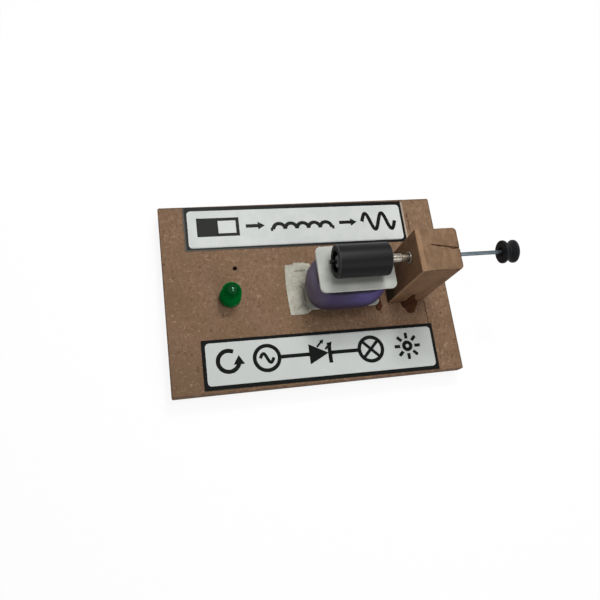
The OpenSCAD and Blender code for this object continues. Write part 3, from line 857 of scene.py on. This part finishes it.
vinyl, place = new_finish("purple_vinyl")
pull = place.stretched(0.2, 0.2, 1.4).cloud(0.8, 3)
grain = place.cloud(3.0, 2)
shade = place.cloud(0.07, 2)
# The left part of the wrap is darker.
darker_left_part = 1 - place.x.between(wrap_mid.x - 8, wrap_mid.x + 4)
# Painted shade: the lower half of the wrap is darker, as it lies in shade.
painted_low_shade = 1 - place.z.between(wrap_mid.z, wrap_mid.z + 7)
# Painted reflection: the left end is painted paler and greyer, as it reflects the pale tape and table.
painted_end_sheen = 1 - place.x.between(wrap_low.x + 1, wrap_low.x + 10)
painted_end_sheen = painted_end_sheen * place.z.between(wrap_mid.z - 7, wrap_mid.z + 3)
# Painted shadow: a dark band just under each plate, where the plate shades the wrap.
painted_plate_shadow = abs(place.z - wrap_mid.z).between(wrap_h / 2 - 2.8, wrap_h / 2 - 1.2)
colour = layered(
    shade.between(0.35, 0.65).mixed(tone(66, 56, 100), tone(81, 70, 122)),
    (pull.between(0.45, 0.75) * 0.35, (85, 75, 118)),
    (darker_left_part * 0.8, (53, 42, 68)),
    (painted_low_shade * 0.85, (44, 31, 48)),
    (painted_end_sheen * 0.75, (108, 100, 118)),
    (painted_plate_shadow * 0.95, (10, 8, 14)),
)
seal(place, colour, 0.36 + pull * 0.2, grain * 0.4 + pull * 0.6, 0.03, specular=0.16)
add_piece("tape_wound_wrap", bm, [vinyl], "base", "coil_wrap")


# Fixing tape: a strip of cream paper tape that holds the end of the coil down on the board.
# It was torn off at the rear, pressed down by hand, and creased where it climbs the bobbin's plate.
def smooth(value):
    """Eases a value between 0 and 1."""
    share = min(1, max(0, value))
    return share * share * (3 - 2 * share)


def along_points(points, share):
    """The value at a share from 0 to 1 of a list of (share, value) points."""
    for (start, low), (end, high) in zip(points, points[1:]):
        if share <= end:
            return low + (high - low) * (share - start) / (end - start)
    return points[-1][1]


tape_rear = ((0, 14.0), (0.3, 14.0), (0.37, 15.0), (0.77, 15.0), (0.93, 14.0), (1, 14.3))
tape_front = ((0, -13.2), (0.6, -13.3), (0.85, -12.7), (1, -11.8))
tape_left_x = board_mid.x - 12.75
tape_right_x = bobbin_low.x + 1.4
tape_past_end = 2.5
paper_t = 0.13
tape_folds = (
    ((-7.9, 10.4), (-2.8, 10.1)), ((-6.1, 2.3), (-4.3, -0.6)), ((-4.7, 3.3), (-3.4, 1.0)),
    ((-4.9, -1.4), (-4.7, -6.6)), ((-5.8, -8.1), (-8.8, -10.5)), ((-5.0, -8.6), (-3.5, -10.7)),
)
fold_h = 0.5
fold_w = 0.7


def pinched(x, y):
    """The height of the tape's folds at a place, which are given from the middle of the board."""
    here = Vector((x - board_mid.x, y))
    height = 0
    for start, end in tape_folds:
        share = intersect_point_line(here, start, end)[1]
        nearest = Vector(start).lerp(Vector(end), min(1, max(0, share)))
        height = max(height, fold_h * smooth(1 - (here - nearest).length / fold_w))
    return height


def tape_point(u, v, rise):
    """A point of the tape: u runs from its free side to the coil, and v from front to rear."""
    y = along_points(tape_front, u) * (1 - v) + along_points(tape_rear, u) * v
    torn = 0.35 * noise.noise(Vector((u * 14, 3.3, v * 6)))
    y += torn * max(0, 8 * abs(v - 0.5) - 3)
    bow = 0.6 * (1 - (y / 13.5) ** 2)
    right_x = tape_right_x + tape_past_end * smooth((y - 9) / 3)
    x = (tape_left_x - bow) * (1 - u) + right_x * u
    x += 0.16 * noise.noise(Vector((y * 0.9, 8.1, 0))) * (1 - u)
    foot_x = bobbin_low.x - 1.0 - 2.9 * smooth((y + 1) / 4)
    climb = plate_t * smooth((x - foot_x) / (bobbin_low.x + 0.2 - foot_x))
    climb *= 1 - smooth((abs(y - coil_y) - bobbin_d / 2 - 0.1) / 1.6)
    spot = Vector((x, y, 0))
    near_coil = smooth((x - foot_x + 4) / 4)
    crease = abs(noise.noise(spot * 0.3 + Vector((1.7, 0, 0)))) + 0.6 * abs(noise.noise(spot * 0.62))
    fold = abs(noise.noise(Vector((x * 0.55 + y * 0.2, y * 0.3, 4.4))))
    crumple = crease * (0.15 + 0.3 * near_coil) + 0.35 * near_coil * fold + pinched(x, y)
    return Vector((x, y, top_z + 0.03 + climb + crumple + rise))


bm = bmesh.new()
slab(bm, 80, 170, tape_point, top=paper_t, under=0)

paper_tape, place = new_finish("paper_tape")
fibre = place.stretched(1.0, 0.5, 1.0).cloud(1.4, 4, 0.65)
age = place.cloud(0.18, 3)
crease = 1 - abs(place.cloud(0.32, 4, 0.6) - 0.5).between(0.0, 0.03)
colour = layered(
    age.between(0.35, 0.65).mixed(tone(170, 168, 154), tone(182, 180, 166)),
    (fibre.between(0.5, 0.75) * 0.14, (156, 151, 133)),
    (crease * place.cloud(0.2).between(0.5, 0.65) * 0.4, (124, 119, 101)),
)
flat_place = place.stretched(1, 1, 0)
grit = (place.cloud(1.2, 3) - 0.5) * 0.5
# Painted shade: each fold is darkened along its line, as the crease lies in shade.
for start, end in tape_folds:
    fold_start = Vector((board_mid.x + start[0], start[1], 0))
    fold = Vector((board_mid.x + end[0], end[1], 0)) - fold_start
    here = flat_place.vector("SUBTRACT", flat_place, fold_start)
    share = here.vector("DOT_PRODUCT", here, fold / fold.length_squared)
    share = share.math("MAXIMUM", share.math("MINIMUM", share, 1.0), 0.0)
    nearest = share.node("VectorMath", {"operation": "SCALE"}, {0: fold, "Scale": share})
    off_fold = here.vector("DISTANCE", here, nearest) + grit
    colour = ((1 - off_fold.between(0.1, 0.35)) * 0.5).mixed(colour, tone(112, 106, 88))
seal(place, colour, 0.85 + fibre * 0.1, fibre * 0.2 - crease, 0.1, specular=0.1)
add_piece("creased_fixing_tape", bm, [paper_tape], "base", "fixing_tape")


# LED: a 10 mm lamp with a dome of green diffused epoxy, cast round two tinned legs.
# Its foot has a rim with a flat on the side of the short leg, and only the dome's top is polished.
dome_r = 5.0
rim_h = 1.6
led_h = led_high.z - led_low.z
epoxy, place = new_finish("green_epoxy")
murk = place.cloud(0.25, 3)
# Painted light: the lower part of the lens is painted brighter green, as light gathers in the diffused
# epoxy there.
painted_gathered_light = 1 - place.z.between(led_high.z - dome_r, led_high.z)
# Painted light: the rim is painted paler, as light shines through its edge.
on_rim = 1 - place.z.between(led_low.z + rim_h, led_low.z + rim_h + 0.6)
colour = layered(
    murk.between(0.3, 0.7).mixed(tone(0, 52, 18), tone(0, 58, 21)),
    (painted_gathered_light, (0, 112, 44)),
    (on_rim, (22, 90, 44)),
)
bump = place.node("Bump", {}, {"Height": murk, "Distance": 0.02 * mm})
cast = {"Base Color": colour, "Normal": bump, "Specular Tint": (0.4, 1, 0.6, 1), "Subsurface Weight": 0.5,
        "Subsurface Radius": (0.2, 1, 0.3), "Subsurface Scale": 2 * mm}
polished = place.node("BsdfPrincipled", {}, {**cast, "Roughness": 0.04, "Specular IOR Level": 0.22})
moulded = place.node("BsdfPrincipled", {}, {**cast, "Roughness": 0.4, "Specular IOR Level": 0.0})
crown = place.z.between(led_high.z - 0.9, led_high.z - 0.2)
glossy = place.math("MAXIMUM", crown, on_rim * 0.5)
surface = place.node("MixShader", {}, {0: glossy, 1: moulded, 2: polished})
place.node("OutputMaterial", {}, {"Surface": surface})

led_centre = Vector(((led_low.x + led_high.x) / 2, led_low.y + led_rim_r, led_low.z))
side = [(0, 0), (led_rim_r, 0), (led_rim_r, rim_h), (dome_r, rim_h), (dome_r, led_h - dome_r)]
dome_steps = 28
dome_angles = [math.radians(90 * step / dome_steps) for step in range(1, dome_steps + 1)]
dome = [(dome_r * math.cos(a), led_h - dome_r + dome_r * math.sin(a)) for a in dome_angles]
bm = bmesh.new()
turned(bm, filleted(side, 0.3) + dome, led_centre, (0, 0, 1))
for vert in bm.verts:
    if vert.co.z < led_centre.z + rim_h + 0.01:
        vert.co.y = min(vert.co.y, led_high.y)
add_piece("cast_led_lens", bm, [epoxy], "base", "led_lens")

tin = mottled("tinned_steel", 1.5, (178, 178, 174), (204, 204, 200), (0.25, 0.5), 0.02, metallic=1.0)
dress("led_anode", tin, edge=0.06)
dress("led_cathode", tin, edge=0.06)


# Wiring: two black insulated wires run under the board from the coil to the legs of the LED.
# Beads of solder join them to the legs, and two strips of paper tape hold them to the board.
insulation = mottled("wire_insulation", 0.7, (24, 25, 27), (42, 43, 45), (0.4, 0.6), 0.03, specular=0.2)
dress("lead_wire_front", insulation, edge=0.05)
dress("lead_wire_rear", insulation, edge=0.05)

solder = mottled("solder", 1.8, (160, 160, 158), (206, 206, 204), (0.22, 0.52), 0.06, 4, metallic=1.0)
dress("solder_joints", solder, edge=0.05)

wire_d = 1.2
pair_half = 1.87
for hand in ("left", "right"):
    low, high = box_mm("wire_tape_" + hand)
    mid_y = (low.y + high.y) / 2
    half_w = (high.y - low.y) / 2

    def strip_point(u, v, drop):
        y = half_w * (2 * v - 1)
        x = low.x + (high.x - low.x) * u
        spot = Vector((x, y, 5.0))
        x += 0.2 * noise.noise(spot * 0.8) * (2 * u - 1)
        sag = wire_d * (1 - smooth((abs(y) - pair_half) / wire_d))
        crumple = 0.1 * abs(noise.noise(spot * 0.7))
        return Vector((x, mid_y + y, under_z - 0.03 - sag - crumple - drop))

    bm = bmesh.new()
    slab(bm, 24, 70, strip_point, top=0, under=paper_t)
    add_piece("paper_wire_strip_" + hand, bm, [paper_tape], "base", "wire_tape_" + hand)


# Rotor shaft: a length of 2 mm drawn steel rod, bluish and smeared from handling, with painted shade on its
# free end.
# It turns in the two bushes, with the magnet at one end and the pulley at the other.
steel, place = new_finish("drawn_steel")
drawn = place.stretched(0.03, 2.5, 2.5).cloud(1.0, 3)
stain = place.stretched(0.4, 1, 1).cloud(0.6, 3)
colour = stain.between(0.35, 0.7).mixed(tone(94, 104, 111), tone(76, 83, 88))
magnet_low, magnet_high = box_mm("rotor_magnet")
# Painted shade: the stub past the magnet's end is dark, as it lies in shade.
painted_stub_shade = 1 - place.x.between(magnet_low.x - 0.2, magnet_low.x + 0.2)
colour = painted_stub_shade.mixed(colour, tone(26, 25, 24))
seal(place, colour, 0.26 + stain * 0.2, drawn, 0.012, metallic=1.0)
shaft_l = shaft_high.x - shaft_low.x
shaft_r = (shaft_high.y - shaft_low.y) / 2
bm = bmesh.new()
rod = filleted([(0, 0), (shaft_r, 0), (shaft_r, shaft_l), (0, shaft_l)], 0.25)
turned(bm, rod, Vector((shaft_low.x, shaft_y, shaft_z)), (1, 0, 0), segments=48)
add_piece("drawn_shaft", bm, [steel], "rotor", "rotor_shaft")


# Magnet and hub: a ground cylinder of black ferrite, glued on a grey moulded hub with a raised boss.
# Grinding left fine streaks along the ferrite, and its edges are rubbed paler.
ferrite, place = new_finish("ferrite")
streaks = place.stretched(0.015, 1.0, 1.0).cloud(1.3, 4, 0.6)
specks = place.cloud(1.4, 3, 0.7)
colour = streaks.between(0.3, 0.7).mixed(tone(5, 5, 6), tone(12, 12, 13))
colour = (specks.between(0.68, 0.78) * 0.4).mixed(colour, tone(84, 84, 84))
end_face = abs(place.facing().x).between(0.7, 0.95)
worn = place.cloud(0.9, 3, 0.7).between(0.4, 0.62)
colour = end_face.mixed(colour, worn.mixed(tone(12, 12, 12), tone(50, 50, 48)))
magnet_l = magnet_high.x - magnet_low.x
magnet_mid = (magnet_low.x + magnet_high.x) / 2
magnet_edge = abs(place.x - magnet_mid).between(magnet_l / 2 - 0.7, magnet_l / 2 - 0.3)
magnet_edge = magnet_edge * round_shaft(place).between(7.4, 7.7)
colour = (magnet_edge * 0.5).mixed(colour, tone(78, 78, 76))
gloss = 0.36 + streaks * 0.1 + end_face * 0.3
seal(place, colour, gloss, streaks * 0.7 + specks * 0.3, 0.02, specular=0.12)
magnet_r = 8
chamfer = 0.4
hub_r = 5.25
boss_r = 2.8
boss_sunk = 0.8
hub_recess = 2.4
magnet = [
    (hub_r, 0), (magnet_r - chamfer, 0), (magnet_r, chamfer), (magnet_r, magnet_l - chamfer),
    (magnet_r - chamfer, magnet_l), (hub_r, magnet_l),
]
ring_piece("ground_magnet", magnet, ferrite, "rotor", "rotor_magnet", rounding=0.2)

hub_plastic = mottled("hub_plastic", 1.0, (72, 74, 75), (98, 100, 100), (0.45, 0.65), 0.03, specular=0.2)
bore_r = 1.0
hub_l = magnet_l - boss_sunk
step = hub_recess - boss_sunk
hub = [(bore_r, 0), (boss_r, 0), (boss_r, step), (hub_r, step), (hub_r, hub_l), (bore_r, hub_l)]
ring_piece("moulded_hub", hub, hub_plastic, "rotor", "rotor_hub")


# Collar and sleeve: a bright turned collar against the magnet, then a duller tube that runs
# into the mouth of the bush. They keep the magnet's distance from the post.
def tube_outline(node, radius):
    """A plain tube on the shaft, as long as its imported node."""
    low, high = box_mm(node)
    length = high.x - low.x
    return [(bore_r, 0), (radius, 0), (radius, length), (bore_r, length)]


bright, place = new_finish("bright_collar")
lathe = place.stretched(6.0, 0.2, 0.2).cloud(1.0, 2)
colour = lathe.between(0.35, 0.65).mixed(tone(98, 92, 83), tone(152, 146, 136))
seal(place, colour, 0.16 + lathe * 0.14, lathe, 0.015, metallic=1.0)
collar = tube_outline("rotor_collar", radius=2.15)
ring_piece("bright_collar", collar, bright, "rotor", "rotor_collar", rounding=0.25)

dull_tube, place = new_finish("dull_tube")
tarnish = place.stretched(2.0, 1.0, 1.0).cloud(0.7, 4)
colour = tarnish.between(0.3, 0.7).mixed(tone(92, 84, 72), tone(116, 108, 96))
seal(place, colour, 0.34 + tarnish * 0.25, tarnish, 0.02, metallic=1.0)
sleeve = tube_outline("spacer_sleeve", radius=1.75)
ring_piece("dull_sleeve", sleeve, dull_tube, "rotor", "spacer_sleeve")


# Drive pulley: a small black pulley pushed on the end of the shaft, for a thread or rubber band.
# It is moulded plastic with a deep groove and a sunk ring round the shaft.
black, place = new_finish("pulley_plastic")
scuff = place.cloud(0.9, 4, 0.65)
colour = (scuff.between(0.5, 0.8) * 0.5).mixed(tone(17, 18, 20), tone(38, 40, 42))
seal(place, colour, 0.35 + scuff * 0.25, scuff, 0.03, specular=0.12)
pulley_r = 5.7
pulley_w = 7.2
rim_w = 1.3
rim_chamfer = 0.3
groove_r = 3.6
floor_half_w = 0.3
sunk_from = 1.3
sunk_to = 2.4
sunk_depth = 0.7
pulley = [
    (bore_r, 0), (sunk_from, 0), (sunk_from, sunk_depth), (sunk_to, sunk_depth), (sunk_to, 0),
    (pulley_r - rim_chamfer, 0), (pulley_r, rim_chamfer), (pulley_r, rim_w),
    (groove_r, pulley_w / 2 - floor_half_w), (groove_r, pulley_w / 2 + floor_half_w),
    (pulley_r, pulley_w - rim_w), (pulley_r, pulley_w - rim_chamfer),
    (pulley_r - rim_chamfer, pulley_w), (bore_r, pulley_w),
]
ring_piece("moulded_pulley", pulley, black, "rotor", "drive_pulley", rounding=0.2)


# Floor and light: a plain white table top under soft studio light.
# One lamp hangs over the part, a wide and a small one stand behind it, and one fills the front.
white, place = new_finish("white_floor")
mottle = place.cloud(0.01, 2)
colour = mottle.mixed((0.93, 0.93, 0.93, 1), (0.95, 0.95, 0.95, 1))


def in_view(signal):
    """1 for rays from the camera and for what metal and clear pieces show, and 0 for the light itself."""
    seen = 0.0
    for kind in ("Is Camera Ray", "Is Glossy Ray", "Is Transmission Ray"):
        seen = seen + signal.node("LightPath", output=kind)
    return signal.math("MINIMUM", seen, 1.0)


lit = place.node("BsdfDiffuse", {}, {"Color": colour})
plain = place.node("Emission", {}, {"Color": (1, 1, 1, 1), "Strength": 1.0})
surface = place.node("MixShader", {}, {0: in_view(place) * 0.9, 1: lit, 2: plain})
place.node("OutputMaterial", {}, {"Surface": surface})
bm = bmesh.new()
bmesh.ops.create_grid(bm, x_segments=4, y_segments=4, size=3.0)
mesh = bpy.data.meshes.new("floor")
bm.to_mesh(mesh)
bm.free()
mesh.materials.append(white)
floor = bpy.data.objects.new("floor", mesh)
bpy.context.scene.collection.objects.link(floor)

scene = bpy.context.scene
scene.world = bpy.data.worlds.new("studio")
scene.world.use_nodes = True
scene.world.node_tree.nodes.clear()
sky = Signal(scene.world.node_tree)
ambient = 0.28
strength = ambient + (1 - ambient) * in_view(sky)
glow = sky.node("Background", {}, {"Color": (1, 1, 1, 1), "Strength": strength})
sky.node("OutputWorld", {}, {"Surface": glow})

lamp_aim = Vector((-0.01, 0, 0.02))


def lamp(name, eye, size, power):
    light = bpy.data.lights.new(name, "AREA")
    light.shape = "RECTANGLE"
    light.size, light.size_y = size
    light.energy = power
    stand = bpy.data.objects.new(name, light)
    stand.location = eye
    stand.rotation_euler = (lamp_aim - Vector(eye)).to_track_quat("-Z", "Y").to_euler()
    scene.collection.objects.link(stand)


lamp("top", (0.03, 0.02, 0.52), (0.13, 0.1), 0.75)
lamp("rear", (0.07, 0.22, 0.46), (0.2, 0.16), 1.1)
lamp("rear_bulb", (0.03, 0.26, 0.46), (0.07, 0.055), 0.46)
lamp("fill", (0.3, -0.55, 0.5), (0.4, 0.4), 1.15)


# Camera: the photograph's place, high over the front left corner, with the camera tipped to one side.
# Its place, roll and lens were solved from the board's corners, the labels and the post.
stand = Vector((board_mid.x, 0, top_z)) * mm
eye = stand + Vector((-0.0780, -0.0922, 0.2935))
aim = stand + Vector((-0.00705, -0.00538, 0))
roll = math.radians(33.19)
optics = bpy.data.cameras.new("camera")
optics.lens = 36.69
optics.sensor_width = 36
optics.clip_start = 0.01
camera = bpy.data.objects.new("camera", optics)
camera.location = eye
camera.rotation_mode = "QUATERNION"
camera.rotation_quaternion = (aim - eye).to_track_quat("-Z", "Y") @ Quaternion((0, 0, 1), roll)
scene.collection.objects.link(camera)
scene.camera = camera
scene.view_settings.view_transform = "Standard"
